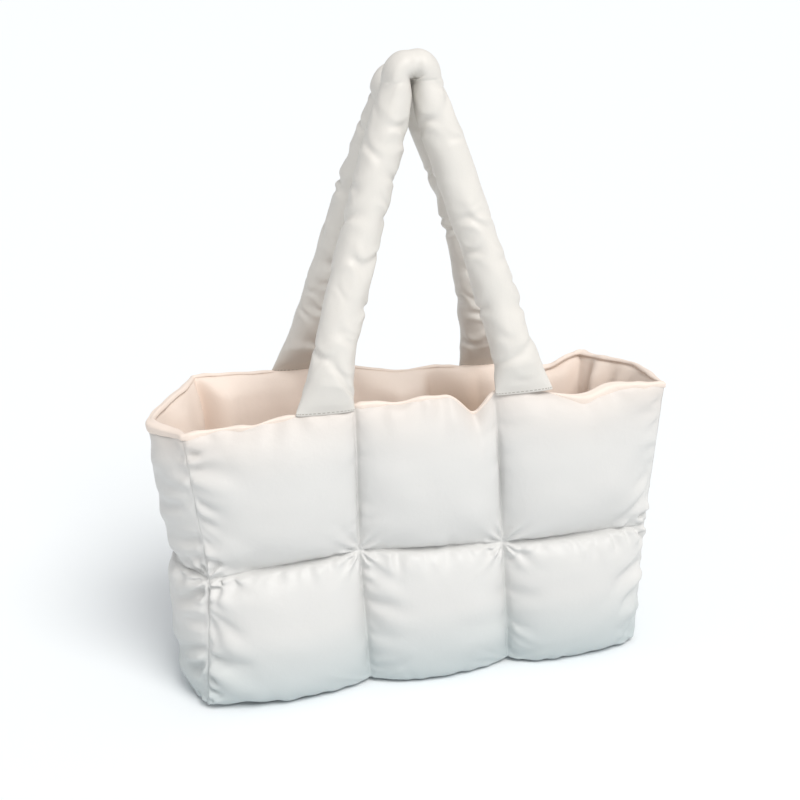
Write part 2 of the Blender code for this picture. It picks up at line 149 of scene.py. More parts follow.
# Tucks of the lining: where each is in counts of posts, how far it reaches on its two
# sides, how deep it is in metres, and down to which level it goes before it fades out
TUCK_FADE = 0.3
Tuck = namedtuple("Tuck", "at before after depth level")
TUCKS = [
    Tuck(0.30, 0.15, 0.15, 0.003, 1.2),
    Tuck(1.90, 0.10, 0.05, 0.004, 1.5),
    Tuck(3.45, 0.20, 0.20, 0.004, 1.3),
    Tuck(3.80, 0.14, 0.05, 0.011, 1.3),
    Tuck(3.88, 0.04, 0.05, -0.003, 1.4),
    Tuck(4.30, 0.25, 0.20, 0.004, 1.0),
    Tuck(4.72, 0.25, 0.15, 0.008, 0.5),
    Tuck(5.31, 0.05, 0.50, 0.016, 0.5),
    Tuck(5.55, 0.20, 0.25, 0.003, 0.9),
    Tuck(5.95, 0.15, 0.30, 0.004, 0.9),
    Tuck(6.45, 0.25, 0.30, 0.003, 1.0),
    Tuck(6.94, 0.45, 0.05, 0.010, 0.8),
    Tuck(7.02, 0.04, 0.05, -0.006, 0.8),
    Tuck(7.40, 0.20, 0.12, 0.005, 1.1),
]

# Soft waves of the slack lining: how many go round the bag, their phase, how they turn
# with the level, and their share. The slack fades out under the rim.
SlackWave = namedtuple("SlackWave", "cycles phase climb share")
SLACK_WAVES = [
    SlackWave(11, 0.0, 1.7, 1.0), SlackWave(17, 2.0, -2.3, 1.0), SlackWave(29, 0.4, 1.1, 0.7)]
LINING_SLACK = 0.0030
SLACK_MIDDLE = 0.4
SLACK_SWING = 0.45
SLACK_FADE = 0.12
SLACK_POWER = 0.7

# Painted shade in the deep fold of the lining at the back, laid in as a darker colour: where it
# starts and ends in counts of posts, how softly, and over how many rows it fades under the rim
SHADE_START = 4.62
SHADE_SOFTNESS = 0.30
SHADE_END = 5.30
SHADE_EDGE = 0.02
SHADE_ROWS = 7

# The lining's roll over the rim: its radius at counts of posts, smaller where the
# rim is pinched and where a handle is sewn over it
Roll = namedtuple("Roll", "at radius")
ROLLS = [
    Roll(0.00, 0.0042), Roll(0.20, 0.0036), Roll(0.38, 0.0034), Roll(0.41, 0.0020),
    Roll(0.45, 0.0038), Roll(0.60, 0.0034), Roll(0.66, 0.0012), Roll(0.99, 0.0012),
    Roll(1.02, 0.0032), Roll(1.25, 0.0034), Roll(1.31, 0.0020), Roll(1.36, 0.0036),
    Roll(1.70, 0.0034), Roll(1.83, 0.0018), Roll(1.88, 0.0022), Roll(1.96, 0.0028),
    Roll(2.01, 0.0012), Roll(2.34, 0.0012), Roll(2.42, 0.0050), Roll(2.55, 0.0075),
    Roll(2.75, 0.0060), Roll(2.90, 0.0036), Roll(3.00, 0.0038), Roll(3.30, 0.0052),
    Roll(3.80, 0.0062), Roll(3.87, 0.0040), Roll(3.96, 0.0080), Roll(4.12, 0.0092),
    Roll(4.38, 0.0088), Roll(4.58, 0.0044),
    Roll(4.66, 0.0012), Roll(5.00, 0.0012), Roll(5.06, 0.0036), Roll(5.32, 0.0034),
    Roll(5.36, 0.0022), Roll(5.50, 0.0034), Roll(5.94, 0.0036), Roll(6.00, 0.0012),
    Roll(6.36, 0.0012), Roll(6.42, 0.0036), Roll(6.93, 0.0040), Roll(7.00, 0.0034),
    Roll(7.30, 0.0056), Roll(7.75, 0.0060), Roll(7.92, 0.0044), Roll(8.00, 0.0042),
]
ROLL_STEPS = 14

# The roll's outline, in shares of its radius: its height, its reach inwards and outwards,
# and how far its end goes out and down. Its tilt leans it, and a dent runs along it.
ROLL_TALL = 0.90
ROLL_IN = 0.8
ROLL_OUT = 1.15
ROLL_END = 0.9
ROLL_DROP = 1.3
TILT_LIFT = 0.25
TILT_SHIFT = 0.15
DENT_TURN = 1.9
DENT_SPREAD = 0.25
DENT_SHARE = 0.35
DENT_RADIUS = 0.004
DENT_START = 0.85

# How uneven the roll's radius is: shares, waves for each puff, and levels in the noise.
# It is smaller and livelier on the front.
Unevenness = namedtuple("Unevenness", "share waves level")
ROLL_UNEVEN = [Unevenness(0.50, 8.0, 4.0), Unevenness(0.45, 19.0, 2.0)]
ROLL_TILT = Unevenness(1.0, 5.0, 1.0)
ROLL_SHARE = 0.84
FRONT_TRIM = 0.10
CALM_ROLL = 0.5
FRONT_BLEND = 0.3

# The cloth of a wall. The excesses tell how much longer the flat cut is than its seams,
# and the pressure swells it for a few frames.
CUT_EXCESS = 0.15
LOWER_CUT_EXCESS = 0.20
SWELL_PRESSURE = 150.0
SWELL_FRAMES = 6

# How a puff starts: its share of the full height, its spread over its seams, its sag at
# its lower seam, and the furthest that the swelling moves a point, in metres
START_PUFF = 0.86
PUFF_SPREAD = 0.28
CORNER_SPREAD = 0.0
LOWER_SAG = 0.75
UPPER_SAG = 0.12
PUFF_CAP = 0.020
PILLOW_ROUNDNESS = 0.9

# Where the painted tints of the walls lie: the warm one, a painted reflection of the pink lining,
# from a level up to the rim, and the cool one, painted shade, under a height in metres
PAINTED_REFLECTION_LEVEL = 1.55
PAINTED_REFLECTION_REACH = 0.45
PAINTED_SHADE_HEIGHT = 0.085

# How fast a puff rises from its lower and upper seam, from a column seam beside it and
# from a corner of the bag: 0.5 is round, and 1 is a slope
Profile = namedtuple("Profile", "below above column corner")
PROFILES = [Profile(0.36, 0.30, 0.44, 0.66), Profile(0.56, 0.74, 0.44, 0.84)]

# Creases that run from the seams into the cloth, each between two soft ridges. For each
# kind of seam: how many a puff has, their depth and reach in metres, and their width.
Crease = namedtuple("Crease", "count depth reach width")
SIDE_CREASES = Crease(15, 0.0046, 0.044, (0.0030, 0.0054))
LOWER_COLUMN_CREASES = Crease(7, 0.0036, 0.028, (0.0026, 0.0045))
UPPER_COLUMN_CREASES = Crease(4, 0.0016, 0.018, (0.0026, 0.0050))
PLAIN_COLUMN_CREASES = Crease(4, 0.0010, 0.014, (0.0026, 0.0045))
MID_BELOW_CREASES = Crease(9, 0.0048, 0.019, (0.0024, 0.0042))
MID_ABOVE_CREASES = Crease(6, 0.0024, 0.013, (0.0026, 0.0045))
LOW_CREASES = Crease(6, 0.0020, 0.022, (0.0030, 0.0055))
RIM_CREASES = Crease(4, 0.0013, 0.038, (0.0050, 0.0080))

# How creases vary: where each starts in its share of the seam, its slant, and its reach
# and depth in shares of its kind's own. They widen away from the seam, keep off its two
# ends, and fade at the seams over their edge.
CREASE_PLACES = (0.1, 0.9)
CREASE_REACHES = (0.4, 1.3)
CREASE_DEPTHS = (0.3, 1.0)
CREASE_LEAN = 0.5
CREASE_WIDENING = 0.03
CREASE_END = 0.06
CREASE_EDGE = 0.004

# The creases of the side seams lean, and are weaker at the seam itself and near the floor
SIDE_LEAN = -0.45
SIDE_EDGE = 0.007
SIDE_SEAM_SHARE = 0.10
SIDE_LOW_SHARE = 0.2
SIDE_LOW_HEIGHT = 0.055

# All gathers together: the most they rise or sink in metres, their share at each corner
# of the bag, the share laid in again after the swelling, and what a flat wall still has
GATHER_CAP = 0.0036
CORNER_SHARES = {FRONT_LEFT: 1.0, FRONT_RIGHT: 0.5, BACK_RIGHT: 0.6, BACK_LEFT: 0.6}
AFTER_SHARE = 0.55
FLAT_WALL_SHARE = 0.3

# Soft dimples all over the cloth: how many across and up a puff, and their depth
DIMPLES = (4.0, 6.5)
DIMPLE_DEPTH = 0.0022

# Pleats that fan out from where two seams cross
PLEAT_DEPTH = 0.0048
PLEAT_REACH = 0.018
PLEATS = 10
LOW_PLEATS = 0.15

# Camera of the photograph: degrees, metres, and the focal length in pixels of an
# image 800 pixels wide
CAMERA_AZIMUTH = -10.0
CAMERA_ELEVATION = 20.0
CAMERA_ROLL = -2.5
CAMERA_DISTANCE = 1.56
CAMERA_SIDE = -0.0125
CAMERA_HEIGHT = 0.269
FOCAL_PIXELS = 1545.0
IMAGE_PIXELS = 800.0
SENSOR = 36.0


def unit(vectors):
    """The same vectors with a length of one."""
    return vectors / np.maximum(np.linalg.norm(vectors, axis=-1, keepdims=True), 1e-12)


def smooth(share):
    return share * share * (3 - 2 * share)


def shared_offset(first, second):
    """Offset direction at a corner that keeps one unit along both normals."""
    return (first + second) / (1 + (first * second).sum(-1, keepdims=True))


def seam_crossings():
    """Where each upright seam crosses the low seam, the mid seam and the rim."""
    crossings = []
    for post in POSTS + POSTS[:1]:
        crossings.append([
            (post.low_x * post.half, post.low_y * BASE_DEPTH / 2, LOW_SEAM_HEIGHT),
            (post.mid_x * post.half, post.mid_y * BAG_DEPTH / 2, post.mid_z * MID_SEAM_HEIGHT),
            (post.rim_x * post.half, post.rim_y * BAG_DEPTH / 2, post.rim_z * BAG_HEIGHT),
        ])
    return np.array(crossings)


CROSSINGS = seam_crossings()
NORMALS = unit(np.cross(
    CROSSINGS[1:, :ROWS] - CROSSINGS[:-1, :ROWS], CROSSINGS[:-1, 1:] - CROSSINGS[:-1, :ROWS]))
MITRES = shared_offset(np.roll(NORMALS, 1, axis=0), NORMALS)
MITRES = np.concatenate([MITRES, MITRES[:1]])


def cells_at(around, up):
    """Cell numbers and shares for arrays of post counts and levels."""
    around, up = np.broadcast_arrays(np.asarray(around, float), np.asarray(up, float))
    post = np.clip(np.floor(around + 1e-9).astype(int), 0, ROUND - 1)
    row = np.clip(np.floor(up + 1e-9).astype(int), 0, ROWS - 1)
    return around, post, (around - post)[..., None], row, (up - row)[..., None]


def wall_middle(around, up):
    """Points of the wall's middle surface, with the folds of the rim and gussets."""
    around, post, across, row, rise = cells_at(around, up)
    low = CROSSINGS[post, row] * (1 - across) + CROSSINGS[post + 1, row] * across
    high = CROSSINGS[post, row + 1] * (1 - across) + CROSSINGS[post + 1, row + 1] * across
    point = low + (high - low) * rise
    outward = NORMALS[post, row]
    upper = (row == 1)[..., None]
    for fold in FOLDS:
        reach = np.where(around < fold.at, fold.before, fold.after)
        strength = np.clip(1 - np.abs(around - fold.at) / reach, 0, 1)[..., None]
        strength = strength * fold.sharp + smooth(strength) * (1 - fold.sharp)
        start = np.where(upper, fold.mid_push, fold.low_push)
        end = np.where(upper, fold.rim_push, fold.mid_push)
        point = point + outward * (strength * (start + (end - start) * rise) * BAG_DEPTH)
        drop = np.where(upper, fold.drop * rise ** DROP_POWER, 0.0) * strength * BAG_HEIGHT
        point[..., 2:] -= drop
    turn = 2 * math.pi * around / ROUND
    lively = smooth(np.clip(np.minimum(around, COLUMNS - around) / CALM_REACH, 0, 1))[..., None]
    near_rim = np.where(upper, rise, 0.0) ** RIM_WAVE_DEPTH
    near_rim = near_rim * (CALM_WAVES + (1 - CALM_WAVES) * lively)
    for wave in RIM_WAVES:
        swing = np.sin(wave.cycles * turn + wave.phase)[..., None] * near_rim
        point = point + outward * (swing * wave.push)
        point[..., 2:] += swing * wave.lift
    return point


def wall_outward(around, up):
    """Offset direction of the wall, mitred where two walls or cells meet."""
    around, post, across, row, _ = cells_at(around, up)
    inner = np.where(across > 1 - 1e-6, MITRES[post + 1, row], NORMALS[post, row])
    return np.where(across < 1e-6, MITRES[post, row], inner)


def lining_outward(around, up):
    """Offset direction that keeps the lining parallel to each flat cell."""
    around, post, across, row, _ = cells_at(around, up)
    return MITRES[post, row] * (1 - across) + MITRES[post + 1, row] * across


def cell_shares(steps):
    """Shares along one puff, closer together near its seams."""
    even = np.arange(steps) / steps
    return even - CELL_CROWDING * np.sin(2 * math.pi * even) / (2 * math.pi)


def lopsided(share, start, end):
    """A hump from 0 to 1 and back, with its own power at each end."""
    total = start + end
    top = (start / total) ** start * (end / total) ** end
    return share ** start * (1 - share) ** end / top


def puff_shape(across, rise, cell, cells, profile):
    """Height of a sagging puff over its cell, from 0 at the seams to 1."""
    left = np.where(cell == 0, profile.corner, profile.column)
    right = np.where(cell == cells - 1, profile.corner, profile.column)
    return lopsided(across, left, right) * lopsided(rise, profile.below, profile.above)


def swell(across, rise, fullness):
    """Height of a pillow over its cell, from 0 at the seams to 1 at the middle."""
    return (16 * across * (1 - across) * rise * (1 - rise)) ** fullness


# Meshes and objects

def new_piece(name, points, faces):
    """A mesh object with its place in its mesh, shaded smooth."""
    mesh = bpy.data.meshes.new(name)
    mesh.from_pydata(np.asarray(points).reshape(-1, 3).tolist(), [], faces)
    mesh.validate()
    mesh.shade_smooth()
    piece = bpy.data.objects.new(name, mesh)
    bpy.context.scene.collection.objects.link(piece)
    return piece


def grid_faces(columns, rows, first=0, flipped=False, closed=False):
    """Quads of a grid of points, counted across and then up."""
    wide = columns if closed else columns + 1
    faces = []
    for up in range(rows):
        for across in range(columns):
            right = (across + 1) % wide
            quad = (up * wide + across, up * wide + right,
                    (up + 1) * wide + right, (up + 1) * wide + across)
            quad = tuple(first + corner for corner in quad)
            faces.append(quad[::-1] if flipped else quad)
    return faces


def border_ring(columns, rows):
    """Numbers of a grid's border points, in order."""
    wide = columns + 1
    ring = list(range(columns))
    ring += [up * wide + columns for up in range(rows)]
    ring += [rows * wide + across for across in range(columns, 0, -1)]
    ring += [up * wide for up in range(rows, 0, -1)]
    return ring


def closed_pad(name, outer, inner):
    """A closed pad between two grids of points that have the same steps."""
    rows, columns = outer.shape[0] - 1, outer.shape[1] - 1
    count = (rows + 1) * (columns + 1)
    faces = grid_faces(columns, rows) + grid_faces(columns, rows, count, flipped=True)
    ring = border_ring(columns, rows)
    for here, there in zip(ring, ring[1:] + ring[:1]):
        faces.append((there, here, here + count, there + count))
    piece = new_piece(name, np.concatenate([outer.reshape(-1, 3), inner.reshape(-1, 3)]), faces)
    on_ring = np.zeros(2 * count, bool)
    on_ring[ring] = True
    ends = np.zeros(2 * len(piece.data.edges), np.int32)
    piece.data.edges.foreach_get("vertices", ends)
    sharp = on_ring[ends].reshape(-1, 2).all(axis=1)
    crease = piece.data.attributes.new("crease_edge", "FLOAT", "EDGE")
    crease.data.foreach_set("value", sharp.astype(np.float32))
    return piece


def add_attribute(piece, name, values):
    """Give each point of a piece a number that its material can read."""
    attribute = piece.data.attributes.new(name, "FLOAT", "POINT")
    attribute.data.foreach_set("value", np.asarray(values, np.float32).ravel())


def add_cloth_map(piece, places):
    """UV map in metres along the cloth, one place for each point."""
    layer = piece.data.uv_layers.new(name="cloth")
    corners = np.zeros(len(piece.data.loops), np.int32)
    piece.data.loops.foreach_get("vertex_index", corners)
    layer.uv.foreach_set("vector", np.asarray(places, np.float32)[corners].ravel())


def refine(piece, levels=1):
    """Round a cloth piece off with a live subdivision, alike in view and render."""
    modifier = piece.modifiers.new("refine", "SUBSURF")
    modifier.levels = levels
    modifier.render_levels = levels


def dress(piece, material, slot, *nodes):
    """Give a piece its material, and let it stand for its nodes."""
    piece.data.materials.clear()
    piece.data.materials.append(material)
    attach(piece, "root")
    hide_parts(*nodes)


def crease_height(depth, off, far):
    """One crease between two soft ridges. off is counted across it, and far along it."""
    return depth * (1 - off ** 2) * np.exp(-off ** 2 / 2) * np.exp(-far ** 2)


def creases(key, crease, along, away, length, lean, turned=1):
    """Height of the creases that start on one seam, alike on both its sides.

    along and away are places in metres along the seam and away from it.
    """
    chance = np.random.default_rng(key)
    total = 0.0
    for number in range(crease.count):
        share = (number + chance.uniform(*CREASE_PLACES)) / crease.count
        start = length * (CREASE_END + (1 - 2 * CREASE_END) * share)
        slant = turned * (lean + chance.uniform(-CREASE_LEAN, CREASE_LEAN))
        width = chance.uniform(*crease.width) * (1 + away / CREASE_WIDENING)
        reach = crease.reach * chance.uniform(*CREASE_REACHES)
        depth = crease.depth * chance.uniform(*CREASE_DEPTHS)
        off = (along - start - slant * away) / width
        total = total - crease_height(depth, off, away / reach)
    return total


def off_seams(place, size, edge):
    """0 on the two seams that bound a puff, and 1 from some way off them."""
    return np.minimum(1, np.minimum(place, size - place) / edge)


def puff_gathers(first_post, cells, cell, row):
    """Height of the gathers over one puff, from the four seams round it."""
    size = COLUMN_WIDTH
    shares = np.append(cell_shares(CELL_STEPS), 1.0)
    across = size * shares[None, :]
    rise = size * shares[:, None]
    post = first_post + cell
    left_side, right_side = cell == 0, cell == cells - 1
    column = UPPER_COLUMN_CREASES if row else LOWER_COLUMN_CREASES
    left = SIDE_CREASES if left_side else column
    right = SIDE_CREASES if right_side else PLAIN_COLUMN_CREASES
    below = MID_ABOVE_CREASES if row else LOW_CREASES
    above = RIM_CREASES if row else MID_BELOW_CREASES
    key = 40 * row
    edge_across = off_seams(across, size, CREASE_EDGE)
    edge_rise = off_seams(rise, size, CREASE_EDGE)
    edge_side = smooth(off_seams(across, size, SIDE_EDGE))
    edge_side = SIDE_SEAM_SHARE + (1 - SIDE_SEAM_SHARE) * edge_side
    if row == 0:
        edge_side = edge_side * np.minimum(1, SIDE_LOW_SHARE + rise / SIDE_LOW_HEIGHT)
    left_edge = edge_side if left_side else edge_across
    right_edge = edge_side if right_side else edge_across
    left_lean = SIDE_LEAN if left_side else 0.0
    right_lean = -SIDE_LEAN if right_side else 0.0
    left_share = CORNER_SHARES.get(post % ROUND, 1.0)
    right_share = CORNER_SHARES.get((post + 1) % ROUND, 1.0)
    total = left_share * left_edge * creases(
        key + post % ROUND, left, rise, across, size, left_lean)
    total = total + right_share * right_edge * creases(
        key + (post + 1) % ROUND, right, rise, size - across, size, right_lean, -1)
    total = total * edge_rise
    total = total + creases(key + 10 + post, below, across, rise, size, 0.0) * (
        edge_rise * edge_across)
    total = total + creases(key + 20 + post, above, across, size - rise, size, 0.0, -1) * (
        edge_rise * edge_across)
    to_mid = rise if row else np.minimum(rise, size - rise)
    to_side = np.minimum(across, size - across)
    far = np.sqrt(to_mid ** 2 + to_side ** 2)
    fan = np.arctan2(to_mid, np.maximum(to_side, 1e-9))
    phase = np.where(across < size / 2, post, post + 4.0)
    pleats = np.cos(PLEATS * fan + phase) * np.exp(-(far / PLEAT_REACH) ** 2)
    pleats = pleats * np.minimum(1, far / CREASE_EDGE)
    pleats = pleats * np.where(across < size / 2, left_share, right_share)
    if row == 0:
        pleats = pleats * np.where(rise < size / 2, LOW_PLEATS, 1.0)
    dimples = np.array([[noise.noise(Vector((
        (cell + place) * DIMPLES[0], (row + level) * DIMPLES[1], first_post + 0.5)))
        for place in shares] for level in shares])
    return total + (PLEAT_DEPTH * pleats + DIMPLE_DEPTH * dimples) * edge_rise * edge_across


def wall_gathers(first_post, cells):
    """Height of the gathers over a whole wall's grid of points."""
    steps = CELL_STEPS
    heights = np.zeros((ROWS * steps + 1, cells * steps + 1))
    for row in range(ROWS):
        for cell in range(cells):
            rows = slice(row * steps, (row + 1) * steps + 1)
            columns = slice(cell * steps, (cell + 1) * steps + 1)
            heights[rows, columns] = puff_gathers(first_post, cells, cell, row)
    return GATHER_CAP * np.tanh(heights[..., None] / GATHER_CAP)


def let_swell(points, faces, cut, pinned, pressure, cap):
    """Let cloth swell from points between its pinned seams, and return where it ends.

    cut holds the same points on the flat cloth, and cap is the furthest that one moves.
    """
    trial = new_piece("cloth_trial", points, faces)
    seams = trial.vertex_groups.new(name="seams")
    seams.add([int(number) for number in pinned], 1.0, "REPLACE")
    trial.shape_key_add(name="Basis")
    flat = trial.shape_key_add(name="cut")
    flat.data.foreach_set("co", np.asarray(cut, np.float32).ravel())
    modifier = trial.modifiers.new("cloth", "CLOTH")
    cloth = modifier.settings
    cloth.quality = 6
    cloth.mass = 0.001
    cloth.tension_stiffness = 12
    cloth.compression_stiffness = 12
    cloth.shear_stiffness = 4
    cloth.bending_stiffness = 0.0002
    cloth.tension_damping = 4
    cloth.compression_damping = 4
    cloth.shear_damping = 4
    cloth.bending_damping = 0.1
    cloth.air_damping = 2
    cloth.vertex_group_mass = "seams"
    cloth.rest_shape_key = flat
    cloth.use_pressure = True
    cloth.uniform_pressure_force = pressure
    cloth.effector_weights.gravity = 0.0
    modifier.collision_settings.use_collision = False
    modifier.point_cache.frame_start = 1
    modifier.point_cache.frame_end = SWELL_FRAMES
    for number in range(1, SWELL_FRAMES + 1):
        bpy.context.scene.frame_set(number)
    shown = trial.evaluated_get(bpy.context.evaluated_depsgraph_get())
    found = np.zeros(len(shown.data.vertices) * 3)
    shown.data.vertices.foreach_get("co", found)
    bpy.data.objects.remove(trial)
    bpy.context.scene.frame_set(1)
    start = np.asarray(points).reshape(-1, 3)
    moved = found.reshape(-1, 3) - start
    far = np.linalg.norm(moved, axis=1, keepdims=True)
    held = cap * np.tanh(far / cap)
    return start + moved * held / np.maximum(far, 1e-9)


def evened(moves, still):
    """Moves of a grid's points with the jitter between neighbours taken out."""
    sides = moves[:-2, 1:-1] + moves[2:, 1:-1] + moves[1:-1, :-2] + moves[1:-1, 2:]
    even = moves.copy()
    even[1:-1, 1:-1] = 0.5 * moves[1:-1, 1:-1] + 0.125 * sides
    return np.where(still, moves, even)


# The padded walls

def wall_grid(first_post, cells, steps):
    """Post counts and levels of a wall's grid of points."""
    shares = cell_shares(steps)
    around = [first_post + cell + shares for cell in range(cells)] + [[first_post + cells]]
    up = [row + shares for row in range(ROWS)] + [[ROWS]]
    return np.meshgrid(np.concatenate(around), np.concatenate(up))


def side_clearance(first_post, cells, around, up):
    """Half the gap to the next wall, at a wall's two side seams."""
    outward = lining_outward(around, up)
    along = unit(np.cross(np.array([0.0, 0.0, 1.0]), outward))
    at_start = (around < first_post + 1e-6)[..., None]
    at_end = (around > first_post + cells - 1e-6)[..., None]
    return along * (SEAM_GAP / 2) * (at_start.astype(float) - at_end.astype(float))


def flat_cut(middle, steps):
    """Where the wall's points lie on its flat cloth, which is cut with some excess."""
    rows, columns = middle.shape[:2]
    widths = np.linalg.norm(np.diff(middle[:, ::steps], axis=1), axis=2).mean(0)
    heights = np.linalg.norm(np.diff(middle[::steps], axis=0), axis=2).mean(1)
    widths = widths * (1 + CUT_EXCESS)
    heights = heights * (1 + np.array([LOWER_CUT_EXCESS, CUT_EXCESS]))
    lines = []
    for sizes in (widths, heights):
        starts = np.cumsum(sizes) - sizes
        places = starts[:, None] + sizes[:, None] * cell_shares(steps)
        lines.append(np.append(places.ravel(), sizes.sum()))
    across, upward = np.meshgrid(*lines)
    return np.stack([across, np.zeros((rows, columns)), upward], axis=-1)


def padded_wall(name, first_post, cells, puffs):
    """One padded wall: the outer cloth swells between its seams over a plain backing."""
    steps = CELL_STEPS
    around, up = wall_grid(first_post, cells, steps)
    middle = wall_middle(around, up) + side_clearance(first_post, cells, around, up)
    outward = lining_outward(around, up)
    across = np.append(np.tile(cell_shares(steps), cells), 0.0)[None, :, None]
    rise = np.append(np.tile(cell_shares(steps), ROWS), 0.0)[:, None, None]
    lower = up[..., None] < 1
    cell = np.append(np.repeat(np.arange(cells), steps), cells - 1)[None, :, None]
    puff = START_PUFF * np.where(
        lower, puffs[0] * puff_shape(across, rise, cell, cells, PROFILES[0]),
        puffs[1] * puff_shape(across, rise, cell, cells, PROFILES[1]))
    fullness = min(1.0, puffs[0] / PANEL_PUFF + FLAT_WALL_SHARE)
    gather = wall_gathers(first_post, cells) * fullness
    along = unit(middle[:, -1:] - middle[:, :1])
    start = middle + outward * (SEAM_HALF + puff + gather)
    spread = np.where((cell == 0) & (across < 0.5), CORNER_SPREAD, PUFF_SPREAD)
    spread = np.where((cell == cells - 1) & (across > 0.5), CORNER_SPREAD, spread)
    start = start + along * (spread * (2 * across - 1) * puff)
    start[..., 2:] += PUFF_SPREAD * (2 * rise - 1) * puff
    start[..., 2:] -= np.where(lower, LOWER_SAG, UPPER_SAG) * (1 - rise) ** 2 * puff
    pillow = swell(across, rise, PILLOW_ROUNDNESS)
    inner = middle - outward * (SEAM_HALF + INNER_PUFF * pillow)
    on_seam = np.broadcast_to((across == 0) | (rise == 0), start.shape[:2] + (1,))
    pinned = np.flatnonzero(on_seam.ravel())
    cut = flat_cut(middle, steps)
    swollen = start
    faces = grid_faces(cells * steps, ROWS * steps)
    swollen = let_swell(start, faces, cut, pinned, SWELL_PRESSURE, PUFF_CAP)
    moves = evened(swollen.reshape(start.shape) - start, on_seam)
    swollen = start + moves + outward * (AFTER_SHARE * gather)
    swollen[..., 2] = np.maximum(swollen[..., 2], 0.0)
    piece = closed_pad(name, swollen, inner)
    places = cut[..., ::2].reshape(-1, 2)
    add_cloth_map(piece, np.concatenate([places, places + (1.0, 0.0)]))
    # Painted reflection: the cloth turns warm towards the rim, as if lit by the pink lining; the
    # wall's inner face is warm all over
    warm_tone_and_painted_reflection = np.clip((up - PAINTED_REFLECTION_LEVEL) / PAINTED_REFLECTION_REACH, 0, 1) ** 2
    add_attribute(piece, "warm_tone_and_painted_reflection", np.concatenate([warm_tone_and_painted_reflection.ravel(), np.ones(warm_tone_and_painted_reflection.size)]))
    # Painted shade: the cloth turns cooler and darker towards the floor
    painted_shade = np.clip(1 - swollen[..., 2] / PAINTED_SHADE_HEIGHT, 0, 1)
    add_attribute(piece, "painted_shade", np.concatenate([painted_shade.ravel(), np.zeros(warm_tone_and_painted_reflection.size)]))
    refine(piece)
    return piece


def patch_between(ring, columns, rows):
    """A grid of points filled in between the points of a closed ring."""
    front = ring[:columns + 1]
    right = ring[columns:columns + rows + 1]
    back = ring[columns + rows:2 * columns + rows + 1][::-1]
    left = np.concatenate([ring[2 * columns + rows:], ring[:1]])[::-1]
    share_x = np.linspace(0, 1, columns + 1)[None, :, None]
    share_y = np.linspace(0, 1, rows + 1)[:, None, None]
    point = front[None] * (1 - share_y) + back[None] * share_y
    point = point + left[:, None] * (1 - share_x) + right[:, None] * share_x
    low_line = front[0] * (1 - share_x) + front[-1] * share_x
    high_line = back[0] * (1 - share_x) + back[-1] * share_x
    return point - low_line * (1 - share_y) - high_line * share_y


def padded_base():
    """The base: flat on the floor, crowned inside, thin at its seam."""
    columns, rows = COLUMNS * BASE_STEPS, BASE_STEPS
    around = np.arange(ROUND * BASE_STEPS) / BASE_STEPS
    inset = SEAM_HALF + 2 * GAP
    ring = wall_middle(around, 0.0) - wall_outward(around, 0.0) * inset
    patch = patch_between(ring, columns, rows)
    across = np.linspace(0, 1, columns + 1)[None, :]
    rise = np.linspace(0, 1, rows + 1)[:, None]
    puff = swell(across, rise, BASE_ROUNDNESS)
    under = patch.copy()
    depth = LOW_SEAM_HEIGHT - BASE_EDGE
    under[..., 2] = depth - np.minimum(depth, BASE_FALL * puff)
    over = patch.copy()
    over[..., 2] = LOW_SEAM_HEIGHT + BASE_EDGE + BASE_PADDING * swell(
        across, rise, PILLOW_ROUNDNESS)
    piece = closed_pad("base_panel_cloth", under[:, ::-1], over[:, ::-1])
    places = patch[:, ::-1, :2].reshape(-1, 2)
    add_cloth_map(piece, np.concatenate([places, places + (1.0, 0.0)]))
    # Painted shade: the whole base takes the cool, dark tint
    add_attribute(piece, "painted_shade", np.ones(len(piece.data.vertices)))
    refine(piece)
    return piece


# The lining

def lining_levels():
    """Levels and insets of the lining's rows, from its floor up to the rim."""
    floor_up = (LINING_FLOOR - LOW_SEAM_HEIGHT) / (MID_SEAM_HEIGHT - LOW_SEAM_HEIGHT)
    share = 1 - (1 - np.arange(LINING_ROWS + 1) / LINING_ROWS) ** LEVEL_POWER
    levels = floor_up + (RIM - floor_up) * share
    near_rim = np.clip((RIM - levels) / INSET_REACH, 0, 1)
    return list(zip(levels, SEAM_HALF + LINING_INSET * near_rim ** INSET_POWER))


def lining_folds(around, up):
    """How far the slack lining comes into the bag, from its tucks and its slackness."""
    total = np.zeros_like(around)
    for tuck in TUCKS:
        before = np.clip(1 + (around - tuck.at) / tuck.before, 0, 1)
        after = np.clip(1 - (around - tuck.at) / tuck.after, 0, 1)
        depth = tuck.depth * np.clip((up - tuck.level) / TUCK_FADE, 0, 1)
        total = total + depth * np.sin(math.pi / 2 * np.where(around < tuck.at, before, after))
    turn = 2 * math.pi * around / ROUND
    soft = sum(wave.share * np.sin(wave.cycles * turn + wave.phase + wave.climb * up)
               for wave in SLACK_WAVES)
    slack = LINING_SLACK * np.maximum(0, SLACK_MIDDLE + SLACK_SWING * soft)
    return (total + slack) * np.clip((RIM - up) / SLACK_FADE, 0, 1) ** SLACK_POWER


def ring_noise(around, waves, level):
    """Smooth noise along the rim, with some number of waves for each puff."""
    far = waves * ROUND / (2 * math.pi)
    turns = 2 * math.pi * around / ROUND
    return np.array([noise.noise(Vector((far * math.cos(turn), far * math.sin(turn), level)))
                     for turn in turns])


